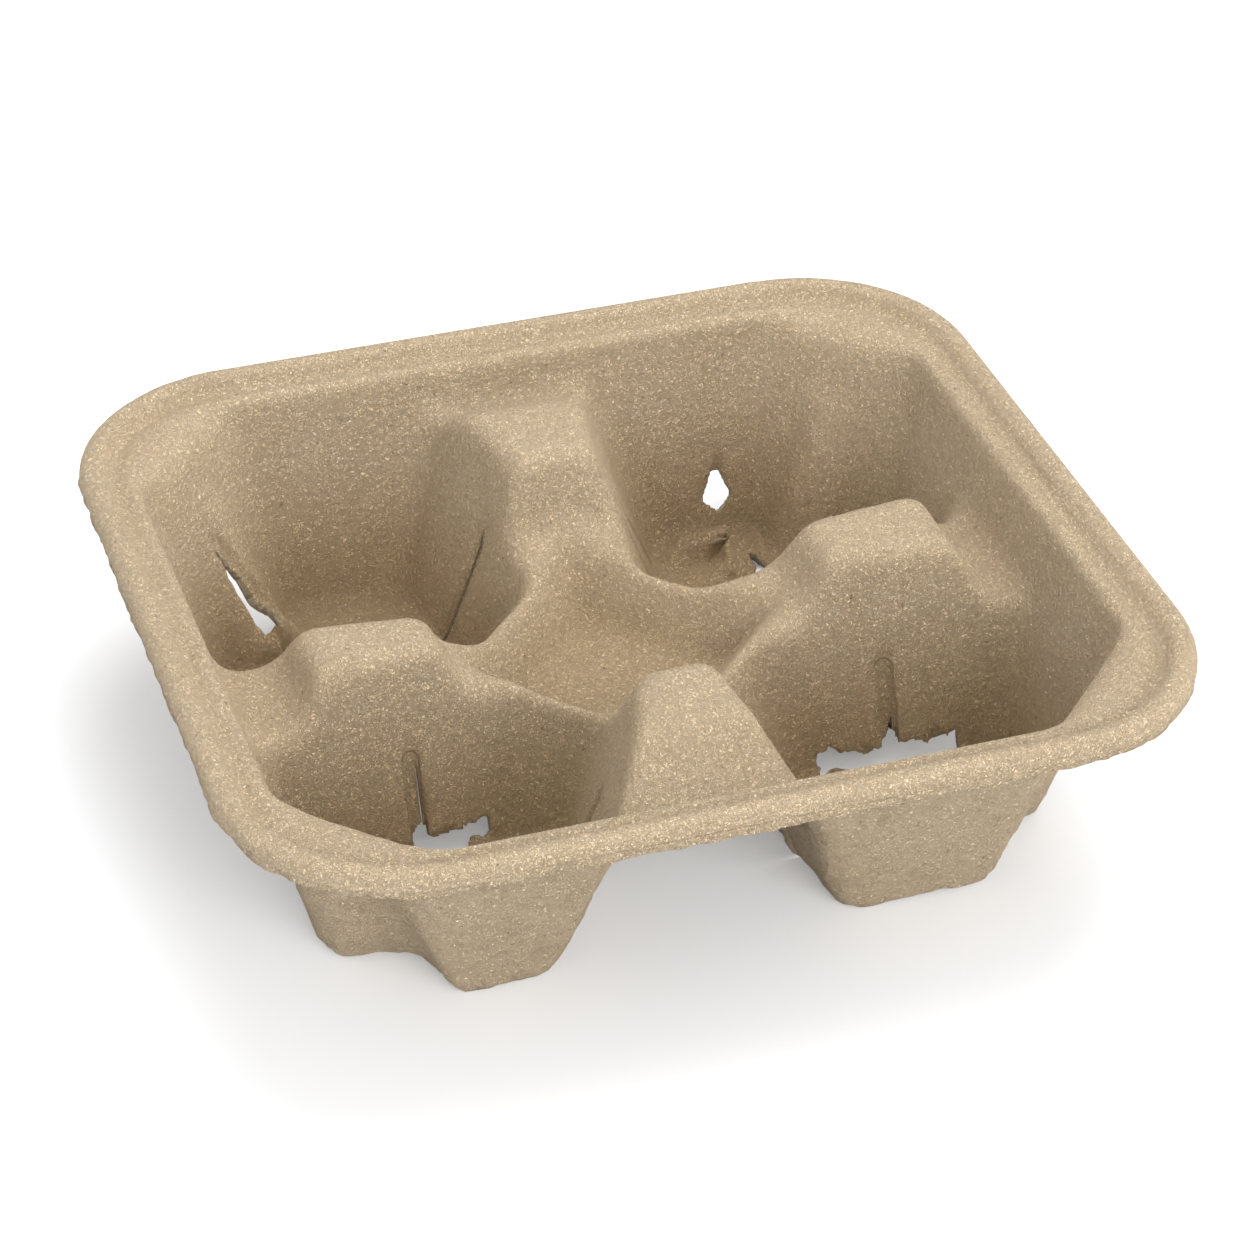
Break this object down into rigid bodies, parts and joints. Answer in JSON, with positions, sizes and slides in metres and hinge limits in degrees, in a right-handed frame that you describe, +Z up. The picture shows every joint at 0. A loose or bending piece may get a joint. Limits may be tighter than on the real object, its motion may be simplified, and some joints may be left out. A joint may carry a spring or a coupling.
{
  "type": "moulded pulp cup carrier",
  "caption": "Square tray of moulded paper pulp with round corners, a rolled rim, raised posts, a centre well and cup pockets with torn floors.",
  "frame": {"origin": "bottom centre of the carrier, on the plane its feet stand on", "axes": "+X along the front side to the right, +Y from the front side to the back, +Z up"},
  "size_m": [0.22, 0.207, 0.0575],
  "materials": {
    "moulded_pulp": "matt unbleached paper pulp, felted on the upper side and coarser underneath"
  },
  "bodies": {
    "root": {"pulp_carrier": "moulded_pulp"}
  },
  "joints": []
}
